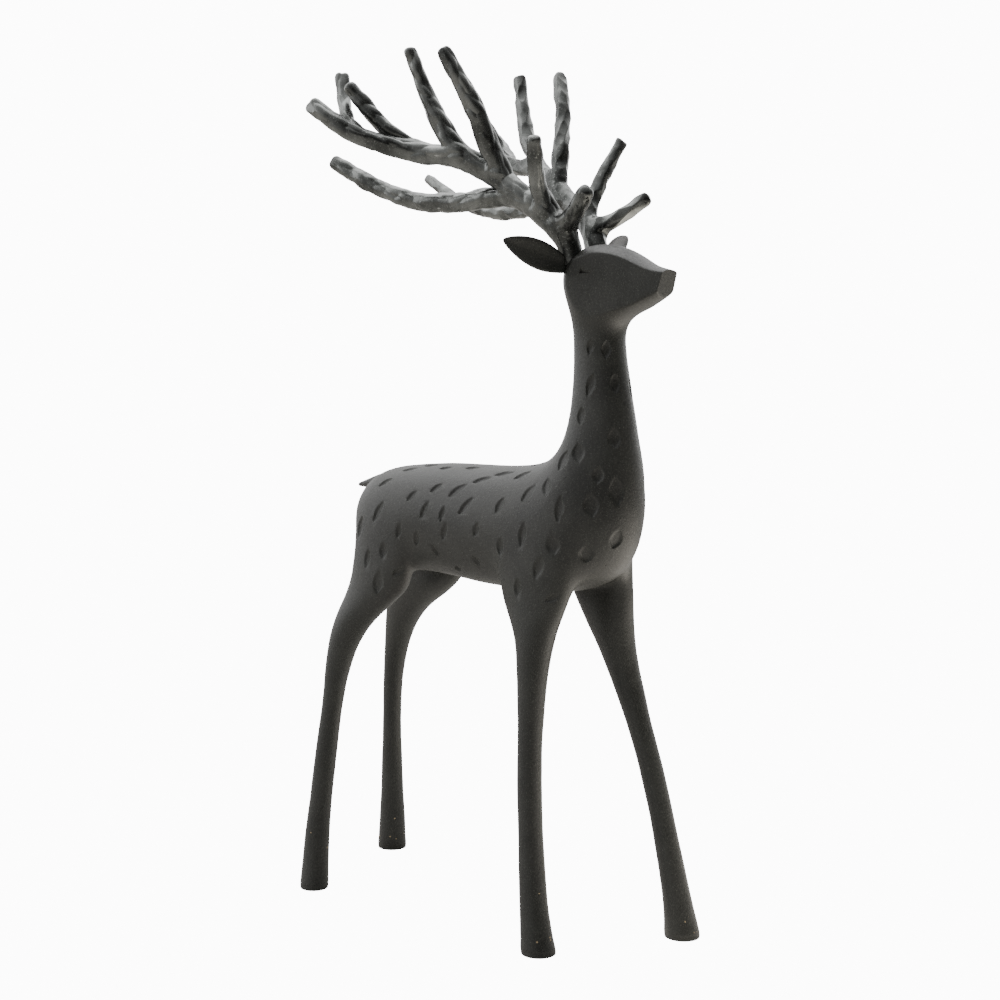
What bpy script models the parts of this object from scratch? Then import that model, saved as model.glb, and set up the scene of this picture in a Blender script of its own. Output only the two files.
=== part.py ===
"""Cast iron stag statue: one figure casting and two antler castings, in metres, +Z up.

The stag faces -Y and +X is its left. The origin is the middle of its footprint box, on the floor.
"""
import math
from dataclasses import dataclass

import bmesh
import bpy
from mathutils import Matrix, Vector

# Driving sizes
HEIGHT = 0.512                     # floor to the highest antler tip
MM = HEIGHT / 512.0                # every free-form station below is a share of the height
FORE_AFT_SHIFT = 6.5               # puts the footprint box's middle on the origin
SEAM_GAP = 0.3                     # clear joint between an antler's foot and the head
SMOOTH_LEVEL = 1                   # subdivision steps on every cage
SLIVER = 0.05                      # corners closer than this after a cut are merged

TRUNK_SIDES = 12
LEG_SIDES = 8
ANTLER_SIDES = 4
# A closed ring of n corners shrinks by this share when it is subdivided.
RING_SHRINK = {4: 0.66, 8: 0.902, 12: 0.955}

# Trunk, neck and head: back line (y, z), under line (y, z), half width and how lean the lower half is;
# 1 is an ellipse, less is fuller and more is leaner
TRUNK = [
    ((87, 242), (88, 226), 9, 1),
    ((84, 256), (83, 213), 20, 1),
    ((75, 264), (74, 204), 28.5, 1),
    ((56, 269), (58, 203), 33.5, 0.95),
    ((28, 271), (28, 205), 34.5, 0.82),
    ((4, 272), (4, 203), 34, 0.82),
    ((-20, 272), (-24, 200.5), 34, 0.82),
    ((-46, 273), (-54, 199.5), 34.5, 0.9),
    ((-66, 277), (-80, 201), 34, 1),
    ((-78.5, 288), (-107, 208), 32.5, 1),
    ((-82, 300), (-122, 229), 27, 1),
    ((-82.5, 314), (-127, 258), 20, 1),
    ((-82, 328), (-122, 292), 15.6, 1),
    ((-82, 344), (-115.5, 328), 13.3, 1),
    ((-81.5, 357), (-112, 347), 13.5, 1),
    ((-78, 370), (-114, 355), 17.5, 1),
    ((-75.5, 383), (-120.5, 359.5), 22, 1),
    ((-83.5, 396), (-128, 362), 25.5, 1.05),
    ((-100, 400.3), (-134, 364.5), 21, 1.05),
    ((-116, 397), (-139.5, 367.3), 16, 1),
    ((-128, 390.3), (-144, 369.8), 12, 0.95),
    ((-138, 385.2), (-148, 371.4), 9.6, 0.95),
    ((-152, 383.3), (-156, 373.8), 8.6, 1),
]
# Each leg grows from two bands of the trunk and two sides of its ring.
HIND_BANDS = (2, 4)
FORE_BANDS = (7, 9)
LEG_RING_CORNERS = (3, 4, 5)

# Planes that flatten the head
CHEEK_AT_NOSE = 6.8                # half thickness of the muzzle at its end
CHEEK_TAPER = 0.21                 # the half thickness grows by this share going back
NOSE_TOP = (-146, 382)
NOSE_BOTTOM = (-143, 372)
HEAD_CUT_FLOOR = 338.0             # the cheek planes fade out at the throat
HEAD_CUT_BACK = -60.0
HEAD_CUT_TOP = 420.0
CUTTER_REACH = 40.0

# Eye slit in each cheek plane
EYE_AT = (-100, 384)
EYE_LENGTH = 7.0
EYE_HEIGHT = 2.2
EYE_DEPTH = 0.8

# Ears
EAR_ROOT = (13, -86, 386)
EAR_REACH = (42, 12, 17.2)
EAR_WIDTHS = [(0.0, 7), (0.14, 11), (0.36, 17), (0.62, 16), (0.84, 10), (1.0, 2)]
EAR_LIFT = 2.8                     # the left ear is carried higher, the right one lower
EAR_THICK = 3.2
EAR_HOLLOW = 1.4
EAR_HOLLOW_WIDTH = 12              # narrower parts of the ear are hollowed less
EAR_THINNING = 0.45                # the ear loses this share of its thickness by the tip

# Tail; its root sits in the rump, under the back line of that trunk section
TAIL_SECTION = 2
TAIL_DROP = 7
TAIL_ROOT = (TRUNK[TAIL_SECTION][0][0] + 1, TRUNK[TAIL_SECTION][0][1] - TAIL_DROP)
TAIL_TIP = (101, 253.5)
TAIL_ROOT_HALF = (7, 6)
TAIL_TIP_HALF = (1.6, 1.2)

# Foot edge
FOOT_EDGE = 0.8

COLOR_BODY = (0.045, 0.044, 0.042, 1.0)
COLOR_ANTLER = (0.060, 0.064, 0.068, 1.0)


@dataclass
class Leg:
    """One leg: which side, which trunk bands, and its sections from the body to the floor."""

    name: str
    side: int                      # +1 left, -1 right
    bands: tuple
    sections: list                 # (z, distance out, y, half across, half fore and aft)


LEGS = [
    Leg("fore_right", -1, FORE_BANDS, [
        (198, 26, -72, 10.5, 24), (182, 27, -74, 11.3, 13.2), (162, 30, -74.3, 9, 9.6),
        (135, 32, -74.7, 7.6, 7.7), (95, 34.5, -75.7, 7.2, 7.2), (60, 36, -78.6, 7.5, 7.5),
        (28, 37.5, -81.8, 8.2, 8.4), (10, 38.4, -84.7, 9.4, 9.8), (FOOT_EDGE, 38.7, -86.8, 10.2, 10.4),
    ]),
    Leg("fore_left", 1, FORE_BANDS, [
        (198, 26, -80, 10.5, 22), (180, 27.5, -84.3, 12, 15), (158, 30, -91, 9.6, 10.2),
        (130, 32, -100, 7.8, 7.8), (92, 34.5, -112.5, 7.1, 7.1), (56, 36, -120.2, 7.4, 7.4),
        (28, 37.5, -126.3, 8.2, 8.4), (10, 38.4, -129.2, 9.7, 9.9), (FOOT_EDGE, 38.7, -130.3, 10.5, 10.7),
    ]),
    Leg("hind_right", -1, HIND_BANDS, [
        (196, 27, 52, 11.5, 25), (180, 30, 67, 11.3, 17.5), (161, 34, 79.5, 9, 11),
        (136, 36, 85, 7.2, 7.4), (106, 38, 89, 6.6, 6.6), (68, 41, 93, 7.0, 7.2),
        (30, 44, 96, 7.8, 8.0), (10, 46, 95.6, 8.8, 9.0), (FOOT_EDGE, 47, 95.2, 9.0, 9.2),
    ]),
    Leg("hind_left", 1, HIND_BANDS, [
        (194, 27, 64, 12, 30), (178, 30, 85, 11.5, 19.5), (159, 34, 99.5, 8.8, 10),
        (132, 36, 107.5, 7.0, 7.2), (102, 38, 111.5, 6.2, 6.2), (66, 41, 115, 6.9, 7.0),
        (30, 44, 118, 8.2, 8.5), (10, 46, 120.7, 9.4, 9.6), (FOOT_EDGE, 47, 121.6, 9.7, 9.9),
    ]),
]


@dataclass
class Tine:
    """One tine: where it leaves the beam, how far it reaches and how it bows."""

    name: str
    at: float                      # place along the beam, in knots
    reach: tuple                   # (out, back, up) from root to tip
    bow: tuple                     # (out, back, up) sag of the middle
    root: float                    # radius at the root
    tip: float                     # radius at the tip


# Beam knots are (out, y, z) and tines (out, back, up). Only the two rear tines differ from side to
# side: they pass close by each other, and each pair is bent its own way to stay apart
BEAM = [(10.5, -87, 388), (11.5, -85.5, 397), (13.5, -82, 405), (16, -75.5, 412.5), (19, -65.5, 420.5),
        (22, -53.5, 429), (25, -43, 437), (30, -31, 445), (35.5, -16, 450), (41, 1, 451.5),
        (50, 15, 454.5), (62, 25, 458.5), (72, 39, 467.5), (78, 58, 481.3)]
TINES = [
    Tine("brow", 2.3, (15, -31.5, 20.8), (-1, 0, -2), 5.6, 4.2),
    Tine("bez", 3.5, (22.5, -8.5, 45), (0.5, 1, 0), 5.8, 3.8),
    Tine("royal", 5.2, (18.5, 131, 22.5), (-1, 0, -16.5), 6.2, 4.2),
    Tine("crown_fore", 6.0, (27, 20, 71.5), (0, -4.5, 0), 6.4, 4.6),
    Tine("crown_mid", 7.8, (14, 24, 62), (0, 1.5, 0), 6.4, 4.6),
]
REAR_TINES = {
    -1: [Tine("surroyal", 9.4, (17, 37, 41), (-1, 2.5, -1.5), 5.2, 4.2),
         Tine("back_upper", 11.6, (-16, 25, 38.5), (-2, 4, -0.5), 4.8, 4.0)],
    1: [Tine("surroyal", 9.4, (6.5, 35.5, 41.5), (-9, 2, -1.5), 5.2, 4.2),
        Tine("back_upper", 11.6, (-10.5, 23, 39), (-1.5, 0.5, 0), 4.8, 4.0)],
}
BEAM_BASE = 7.6
BEAM_END = 4.4
FOOT_KNOTS = (0.0, 1.0, 1.7)       # rings at the antler's foot, before the first tine
TOP_STEPS = (0.8, 0.12, 0.0)       # rings at the beam's top, in knots before its end
HEADING_STEP = 0.05                # knots looked ahead and back for the beam's direction
TINE_HEADING_AT = 0.3              # share of a tine that sets the side of the beam it leaves
TINE_STEP_AHEAD = 0.02             # share of a tine looked ahead and back for its direction
TINE_CLEAR = 1.25                  # the first ring clears the beam by this many beam radii
TINE_CLEAR_ROOT = 0.35             # and by this many root radii
TINE_CLEAR_MOST = 0.4              # but starts before this share of the length
TIP_RING = 0.55                    # the ring before the tip stands this many tip radii back
ANTLER_FOOT = 6.5                  # radius where the antler meets the head
ANTLER_LEAN = 0.7                  # degrees; the left antler leans back, the right one forward
TINE_STEP = 17.0                   # rings along a tine stand about this far apart
ROOT_SPREAD = 1.05                 # a tine takes this many of its radii along the beam, each way
BLUNT = 0.72                       # the last ring's share of the tip radius


def at(out, y, z):
    """A point from millimetre shares to the object's frame."""
    return Vector((out, y + FORE_AFT_SHIFT, z)) * MM


def make_material(name, color, metallic, roughness):
    """A Principled material with a plain colour."""
    material = bpy.data.materials.new(name)
    material.use_nodes = True
    shader = material.node_tree.nodes["Principled BSDF"]
    shader.inputs["Base Color"].default_value = color
    shader.inputs["Metallic"].default_value = metallic
    shader.inputs["Roughness"].default_value = roughness
    material.diffuse_color = color
    return material


def link_object(name, mesh, collection):
    """Put a mesh into the scene as a named object."""
    made = bpy.data.objects.new(name, mesh)
    collection.objects.link(made)
    return made


def finish_cage(bm, name):
    """Turn a cage into a mesh with its faces looking out."""
    bmesh.ops.recalc_face_normals(bm, faces=bm.faces)
    mesh = bpy.data.meshes.new(name)
    bm.to_mesh(mesh)
    bm.free()
    return mesh


def smooth(made):
    """Subdivide a cage."""
    modifier = made.modifiers.new("smooth", "SUBSURF")
    modifier.levels = SMOOTH_LEVEL
    modifier.render_levels = SMOOTH_LEVEL
    return made


def join(made, other, operation):
    """Join a second body to the first one, or cut it away."""
    modifier = made.modifiers.new(operation.lower() + "_" + other.name, "BOOLEAN")
    modifier.operation = operation
    modifier.solver = "EXACT"
    modifier.object = other


def creased(bm, edges):
    """Keep the given edges sharp under subdivision."""
    layer = bm.edges.layers.float.get("crease_edge") or bm.edges.layers.float.new("crease_edge")
    for edge in edges:
        edge[layer] = 1.0


def bridge(bm, first, second):
    """Faces between two rings of equal count."""
    count = len(first)
    for k in range(count):
        n = (k + 1) % count
        bm.faces.new((first[k], first[n], second[n], second[k]))


def trunk_ring(bm, station, grow):
    """One ring across the body, from its back line to its under line."""
    (back_y, back_z), (under_y, under_z), half, lean = station
    back = at(0, back_y, back_z)
    under = at(0, under_y, under_z)
    middle = (back + under) / 2
    up = (back - under) / 2
    scale = 1 / RING_SHRINK[TRUNK_SIDES]
    more = grow * MM
    up = up.normalized() * (up.length + more) * scale
    side = Vector((1, 0, 0)) * (half * MM + more) * scale
    ring = []
    for k in range(TRUNK_SIDES):
        turn = 2 * math.pi * k / TRUNK_SIDES
        high, wide = math.cos(turn), math.sin(turn)
        if high < 0:
            high = -abs(high) ** lean
            wide = math.copysign(abs(wide) ** lean, wide)
        ring.append(bm.verts.new(middle + up * high + side * wide))
    return ring


def leg_patch(rings, leg):
    """The trunk's corners that a leg grows from, in order round the leg, outside first."""
    low, high = leg.bands
    mid = (low + high) // 2
    outer, centre, inner = LEG_RING_CORNERS
    if leg.side < 0:
        outer, centre, inner = (TRUNK_SIDES - k for k in LEG_RING_CORNERS)
    order = [(mid, outer), (high, outer), (high, centre), (high, inner),
             (mid, inner), (low, inner), (low, centre), (low, outer)]
    return [rings[band][corner] for band, corner in order], rings[mid][centre]


def leg_ring(bm, leg, section, lift=None, inset=0.0):
    """One ring round a leg."""
    z, out, y, across, along = section
    z = z if lift is None else lift
    scale = 1 / RING_SHRINK[LEG_SIDES]
    ring = []
    for k in range(LEG_SIDES):
        turn = 2 * math.pi * k / LEG_SIDES
        reach = out + (across - inset) * scale * math.cos(turn)
        ring.append(bm.verts.new(at(leg.side * reach, y - (along - inset) * scale * math.sin(turn), z)))
    return ring


def grow_leg(bm, rings, leg):
    """Extrude a leg from its patch down to a flat foot."""
    loop, middle = leg_patch(rings, leg)
    bmesh.ops.delete(bm, geom=[middle], context="VERTS")
    for section in leg.sections:
        ring = leg_ring(bm, leg, section)
        bridge(bm, loop, ring)
        loop = ring
    sole = leg_ring(bm, leg, leg.sections[-1], lift=0.0, inset=FOOT_EDGE / 2)
    bridge(bm, loop, sole)
    face = bm.faces.new(sole)
    creased(bm, face.edges)


def figure_cage(name, collection, with_legs, grow=0.0):
    """Body, neck and head in one cage; the legs grow out of it."""
    bm = bmesh.new()
    rings = [trunk_ring(bm, station, grow) for station in TRUNK]
    for first, second in zip(rings, rings[1:]):
        bridge(bm, first, second)
    bm.faces.new(rings[0])
    bm.faces.new(rings[-1])
    if with_legs:
        for leg in LEGS:
            grow_leg(bm, rings, leg)
    return smooth(link_object(name, finish_cage(bm, name), collection))


def prism(name, outline, low, high, collection):
    """A straight body between two levels across X; the outline is (y, z) pairs."""
    bm = bmesh.new()
    first = [bm.verts.new(at(low(y), y, z)) for y, z in outline]
    second = [bm.verts.new(at(high(y), y, z)) for y, z in outline]
    bridge(bm, first, second)
    bm.faces.new(first)
    bm.faces.new(second)
    return link_object(name, finish_cage(bm, name), collection)


def cheek_plane(y):
    """Half thickness of the head at a place along it."""
    return CHEEK_AT_NOSE + CHEEK_TAPER * (y - NOSE_TOP[0])


def cut_head(figure, cutters):
    """Flatten both cheeks and the nose."""
    front = NOSE_TOP[0] - CUTTER_REACH / 2
    back = HEAD_CUT_BACK
    top = HEAD_CUT_TOP
    outline = [(front, HEAD_CUT_FLOOR), (back, HEAD_CUT_FLOOR), (back, top), (front, top)]
    for side, label in ((1, "left"), (-1, "right")):
        body = prism("cut_cheek_" + label, outline, lambda y: side * cheek_plane(y),
                     lambda y: side * (cheek_plane(y) + CUTTER_REACH), cutters)
        join(figure, body, "DIFFERENCE")
    top_y, top_z = NOSE_TOP
    low_y, low_z = NOSE_BOTTOM
    slope = (low_y - top_y) / (low_z - top_z)
    high_at = (top_y + slope * CUTTER_REACH / 2, top_z + CUTTER_REACH / 2)
    low_at = (low_y - slope * CUTTER_REACH / 2, low_z - CUTTER_REACH / 2)
    outline = [high_at, low_at, (top_y - CUTTER_REACH, low_at[1]), (top_y - CUTTER_REACH, high_at[1])]
    nose = prism("cut_nose", outline, lambda y: -CUTTER_REACH, lambda y: CUTTER_REACH, cutters)
    join(figure, nose, "DIFFERENCE")


def cut_eyes(figure, cutters):
    """A shallow slit with pointed ends in each cheek."""
    y, z = EYE_AT
    half = EYE_LENGTH / 2
    rise = EYE_HEIGHT / 2
    outline = [(y - half, z), (y - half / 3, z + rise), (y + half / 2, z + rise),
               (y + half, z), (y + half / 2, z - rise / 2), (y - half / 3, z - rise / 2)]
    for side, label in ((1, "left"), (-1, "right")):
        body = prism("cut_eye_" + label, outline, lambda y: side * (cheek_plane(y) - EYE_DEPTH),
                     lambda y: side * (cheek_plane(y) + EYE_DEPTH), cutters)
        join(figure, body, "DIFFERENCE")


def ear(name, side, collection, grow=0.0):
    """A leaf-shaped ear, hollow on its front face."""
    root = Vector(EAR_ROOT)
    reach = Vector(EAR_REACH) + Vector((0, 0, side * EAR_LIFT))
    axis = reach.normalized()
    wide = (Vector((0, 0, 1)) - axis * axis.z).normalized()
    front = wide.cross(axis)
    if front.y > 0:
        front.negate()
    scale = 1 / RING_SHRINK[LEG_SIDES]
    bm = bmesh.new()
    rings = []
    for share, width in EAR_WIDTHS:
        centre = root + reach * share
        half = (width / 2 + grow) * scale
        thick = (EAR_THICK / 2 * (1 - EAR_THINNING * share) + grow) * scale
        hollow = EAR_HOLLOW * min(1, width / EAR_HOLLOW_WIDTH)
        section = [(half, thick * 0.4), (half * 0.72, thick), (0, thick - hollow),
                   (-half * 0.72, thick), (-half, thick * 0.4), (-half * 0.7, -thick),
                   (0, -thick * 1.5), (half * 0.7, -thick)]
        ring = []
        for across, ahead in section:
            place = centre + wide * across + front * ahead
            ring.append(bm.verts.new(at(side * place.x, place.y, place.z)))
        rings.append(ring)
    for first, second in zip(rings, rings[1:]):
        bridge(bm, first, second)
    bm.faces.new(rings[0])
    bm.faces.new(rings[-1])
    return smooth(link_object(name, finish_cage(bm, name), collection))


def tail(collection):
    """A short pointed tail against the rump."""
    bm = bmesh.new()
    rings = []
    for (y, z), (across, tall) in ((TAIL_ROOT, TAIL_ROOT_HALF), (TAIL_TIP, TAIL_TIP_HALF)):
        ring = [bm.verts.new(at(x * across, y, z + up * tall))
                for x, up in ((1, 1), (-1, 1), (-1, -1), (1, -1))]
        rings.append(ring)
    bridge(bm, rings[0], rings[1])
    bm.faces.new(rings[0])
    bm.faces.new(rings[1])
    return link_object("tail", finish_cage(bm, "tail"), collection)


def on_beam(place):
    """A point on the smooth line through the beam's knots, at a place counted in knots."""
    last = len(BEAM) - 1
    k = min(max(int(place), 0), last - 1)
    t = place - k
    a, b, c, d = [Vector(BEAM[min(max(k + step, 0), last)]) for step in (-1, 0, 1, 2)]
    return 0.5 * (2 * b + (c - a) * t + (2 * a - 5 * b + 4 * c - d) * t ** 2
                  + (3 * b - a - 3 * c + d) * t ** 3)


def beam_heading(place):
    """The beam's direction at a place counted in knots."""
    last = len(BEAM) - 1
    ahead = on_beam(min(place + HEADING_STEP, last))
    return (ahead - on_beam(max(place - HEADING_STEP, 0))).normalized()


def beam_radius(place):
    """The beam's radius at a place counted in knots."""
    if place <= 1:
        return ANTLER_FOOT
    return BEAM_BASE + (BEAM_END - BEAM_BASE) * place / (len(BEAM) - 1)


def on_tine(root, tine, share):
    """A point on a tine's bowed centre line."""
    return root + Vector(tine.reach) * share + Vector(tine.bow) * 4 * share * (1 - share)


def square_ring(bm, centre, heading, ahead, radius):
    """Four corners round a line; returns them and the direction carried along."""
    ahead = (ahead - heading * ahead.dot(heading)).normalized()
    across = heading.cross(ahead)
    reach = radius / RING_SHRINK[ANTLER_SIDES]
    ring = []
    for k in range(ANTLER_SIDES):
        turn = math.pi / 4 + k * math.pi / 2
        ring.append(bm.verts.new(centre + (ahead * math.cos(turn) + across * math.sin(turn)) * reach))
    return ring, ahead


def nearest_order(first, second):
    """The second ring, turned and ordered so that its corners meet the first ring's."""
    turned = []
    for order in (second, second[::-1]):
        for turn in range(len(order)):
            turned.append(order[turn:] + order[:turn])
    return min(turned, key=lambda ring: sum((a.co - b.co).length for a, b in zip(first, ring)))


def grow_tine(bm, face, place, tine):
    """Extrude a tine from one side of the beam to its blunt tip."""
    root = on_beam(place)
    heading = (on_tine(root, tine, TINE_HEADING_AT) - root).normalized()
    lean = heading.cross(beam_heading(place)).length
    length = Vector(tine.reach).length
    clear = TINE_CLEAR * beam_radius(place) / max(lean, 0.5) + TINE_CLEAR_ROOT * tine.root
    start = min(clear / length, TINE_CLEAR_MOST)
    loop = list(face.verts)
    ahead = (loop[0].co + loop[1].co) / 2 - face.calc_center_median()
    bmesh.ops.delete(bm, geom=[face], context="FACES_ONLY")
    steps = max(3, round(length * (1 - start) / TINE_STEP))
    end = 1 - TIP_RING * tine.tip / length
    shares = [start + (end - start) * k / steps for k in range(steps + 1)] + [1.0]
    for share in shares:
        ahead_of = on_tine(root, tine, share + TINE_STEP_AHEAD)
        heading = (ahead_of - on_tine(root, tine, share - TINE_STEP_AHEAD)).normalized()
        radius = tine.root + (tine.tip - tine.root) * share
        if share == 1.0:
            radius *= BLUNT
        ring, ahead = square_ring(bm, on_tine(root, tine, share), heading, ahead, radius)
        ring = nearest_order(loop, ring)
        bridge(bm, loop, ring)
        loop = ring
    bm.faces.new(loop)


def antler(name, side, collection, seats):
    """A branching cage: the beam, then every tine from the beam's nearest side."""
    bm = bmesh.new()
    last = len(BEAM) - 1
    places = list(FOOT_KNOTS)
    tines = TINES + REAR_TINES[side]
    for tine in tines:
        pace = (on_beam(tine.at + 0.5) - on_beam(tine.at - 0.5)).length
        spread = ROOT_SPREAD * tine.root / pace
        places += [tine.at - spread, tine.at + spread]
    places += [last - step for step in TOP_STEPS]
    ahead = Vector((0, -1, 0))
    rings = []
    for place in places:
        radius = beam_radius(place) * (BLUNT if place == last else 1.0)
        ring, ahead = square_ring(bm, on_beam(place), beam_heading(place), ahead, radius)
        rings.append(ring)
    sides = {}
    for k, (first, second) in enumerate(zip(rings, rings[1:])):
        bridge(bm, first, second)
        sides[k] = [f for v in first for f in v.link_faces if set(f.verts) <= set(first) | set(second)]
    bottom = bm.faces.new(rings[0])
    creased(bm, bottom.edges)
    bm.faces.new(rings[-1])
    for tine in tines:
        band = max(k for k, place in enumerate(places) if place < tine.at)
        root = on_beam(tine.at)
        heading = (on_tine(root, tine, TINE_HEADING_AT) - root).normalized()
        beside = heading - beam_heading(tine.at) * heading.dot(beam_heading(tine.at))
        face = max(sides[band], key=lambda f: (f.calc_center_median() - root).dot(beside))
        grow_tine(bm, face, tine.at, tine)
    lean = Matrix.Rotation(math.radians(-side * ANTLER_LEAN), 3, "X")
    foot = Vector(BEAM[1])
    for vert in bm.verts:
        place = foot + lean @ (vert.co - foot)
        vert.co = at(side * place.x, place.y, place.z)
    made = smooth(link_object(name, finish_cage(bm, name), collection))
    for seat in seats:
        join(made, seat, "DIFFERENCE")
    weld = made.modifiers.new("merge_slivers", "WELD")
    weld.merge_threshold = SLIVER * MM
    return made


def build():
    """Make the three castings."""
    for leftover in list(bpy.data.objects):
        bpy.data.objects.remove(leftover)
    scene = bpy.context.scene.collection
    parts = bpy.data.collections.new("stag_statue")
    cutters = bpy.data.collections.new("cutters")
    scene.children.link(parts)
    scene.children.link(cutters)

    figure = figure_cage("figure", parts, with_legs=True)
    cut_head(figure, cutters)
    for side, label in ((1, "left"), (-1, "right")):
        join(figure, ear("ear_" + label, side, cutters), "UNION")
    join(figure, tail(cutters), "UNION")
    cut_eyes(figure, cutters)
    figure.data.materials.append(make_material("dark_iron", COLOR_BODY, 0.6, 0.55))

    head = figure_cage("head_clearance", cutters, with_legs=False, grow=SEAM_GAP)
    material = make_material("antler_iron", COLOR_ANTLER, 0.8, 0.35)
    for side, label in ((1, "left"), (-1, "right")):
        seats = [head, ear("ear_clearance_" + label, side, cutters, grow=SEAM_GAP)]
        antler("antler_" + label, side, parts, seats).data.materials.append(material)

    for cutter in cutters.objects:
        cutter.hide_render = True
        cutter.display_type = "WIRE"


build()
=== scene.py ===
"""Cast iron stag statue: the dressed model, its studio and its camera, in metres, +Z up.

The stag faces -Y and +X is its left. Free-form stations are in millimetres.
"""
import logging
import math
from dataclasses import dataclass, field
from enum import Enum

import bmesh
import bpy
import numpy as np
from mathutils import Matrix, Vector, kdtree, noise


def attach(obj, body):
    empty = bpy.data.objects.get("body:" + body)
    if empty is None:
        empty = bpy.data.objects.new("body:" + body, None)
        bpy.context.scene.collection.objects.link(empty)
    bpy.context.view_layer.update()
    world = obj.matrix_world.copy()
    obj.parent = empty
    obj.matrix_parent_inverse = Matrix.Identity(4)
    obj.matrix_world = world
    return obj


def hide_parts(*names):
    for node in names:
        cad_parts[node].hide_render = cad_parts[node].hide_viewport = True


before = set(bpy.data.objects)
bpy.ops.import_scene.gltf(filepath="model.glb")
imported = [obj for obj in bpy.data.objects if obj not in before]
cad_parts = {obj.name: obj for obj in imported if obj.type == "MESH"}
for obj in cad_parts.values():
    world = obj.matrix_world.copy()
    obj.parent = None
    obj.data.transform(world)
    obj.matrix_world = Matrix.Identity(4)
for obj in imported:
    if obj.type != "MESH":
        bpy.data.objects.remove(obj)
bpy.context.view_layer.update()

LOG = logging.getLogger("stag")
MM = 0.001
SHIFT = Vector((0.0, 6.5, 0.0))    # from the stations' origin to the middle of the footprint
RING_SHRINK = {4: 0.667, 8: 0.902, 12: 0.955}    # how far smoothing draws a ring of so many corners in


class Side(Enum):
    """The stag's own left and right."""

    LEFT = 1
    RIGHT = -1


class Slot(Enum):
    """Names of the two material slots."""

    BODY = "dark_iron"
    ANTLER = "antler_iron"


def soft_min(value: np.ndarray, limit: np.ndarray, width: float) -> np.ndarray:
    """The smaller of two fields, rounded where they meet.

    Args:
        value: the field to be held back.
        limit: the most it may be.
        width: how wide the rounding is, in the fields' unit.

    Returns:
        The rounded minimum.
    """
    gap = np.clip(0.5 + 0.5 * (limit - value) / width, 0.0, 1.0)
    return value * gap + limit * (1 - gap) - width * gap * (1 - gap)


def unit(rows: np.ndarray) -> np.ndarray:
    """Rows scaled to length one."""
    return rows / np.maximum(np.linalg.norm(rows, axis=-1, keepdims=True), 1e-12)


class Cage:
    """A coarse cage of quads that is smoothed into a casting's surface."""

    def __init__(self, name: str) -> None:
        """Start an empty cage."""
        self.name = name
        self.bm = bmesh.new()

    def point(self, place: Vector) -> bmesh.types.BMVert:
        """Add one corner, given in millimetres."""
        return self.bm.verts.new((place + SHIFT) * MM)

    def bridge(self, first: list, second: list) -> list:
        """Quads between two rings of equal count.

        Args:
            first: corners of the one ring.
            second: corners of the other.

        Returns:
            The new faces.
        """
        count = len(first)
        return [self.bm.faces.new((first[k], first[(k + 1) % count], second[(k + 1) % count], second[k]))
                for k in range(count)]

    def cap(self, ring: list, sharp: bool = False) -> None:
        """Close a ring.

        Args:
            ring: the ring's corners.
            sharp: whether its edge stays sharp.
        """
        face = self.bm.faces.new(ring)
        if sharp:
            layers = self.bm.edges.layers.float
            layer = layers.get("crease_edge") or layers.new("crease_edge")
            for edge in face.edges:
                edge[layer] = 1.0

    def smooth(self, levels: int) -> bpy.types.Object:
        """Subdivide the cage.

        Args:
            levels: subdivision steps.

        Returns:
            An object that holds the dense mesh.
        """
        bmesh.ops.recalc_face_normals(self.bm, faces=self.bm.faces)
        mesh = bpy.data.meshes.new(self.name)
        self.bm.to_mesh(mesh)
        self.bm.free()
        made = bpy.data.objects.new(self.name, mesh)
        bpy.context.scene.collection.objects.link(made)
        step = made.modifiers.new("smooth", "SUBSURF")
        step.levels = levels
        step.render_levels = levels
        settle(made)
        return made


def settle(made: bpy.types.Object) -> None:
    """Apply every modifier of an object to its mesh.

    Args:
        made: the object.
    """
    graph = bpy.context.evaluated_depsgraph_get()
    mesh = bpy.data.meshes.new_from_object(made.evaluated_get(graph))
    made.modifiers.clear()
    old = made.data
    made.data = mesh
    bpy.data.meshes.remove(old)


def combine(made: bpy.types.Object, other: bpy.types.Object, operation: str) -> None:
    """Join another body to an object or cut it away, and use the other up.

    Args:
        made: the object that changes.
        other: the body to add or take away.
        operation: UNION or DIFFERENCE.
    """
    step = made.modifiers.new("join", "BOOLEAN")
    step.operation = operation
    step.solver = "EXACT"
    step.object = other
    settle(made)
    mesh = other.data
    bpy.data.objects.remove(other)
    bpy.data.meshes.remove(mesh)


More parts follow.
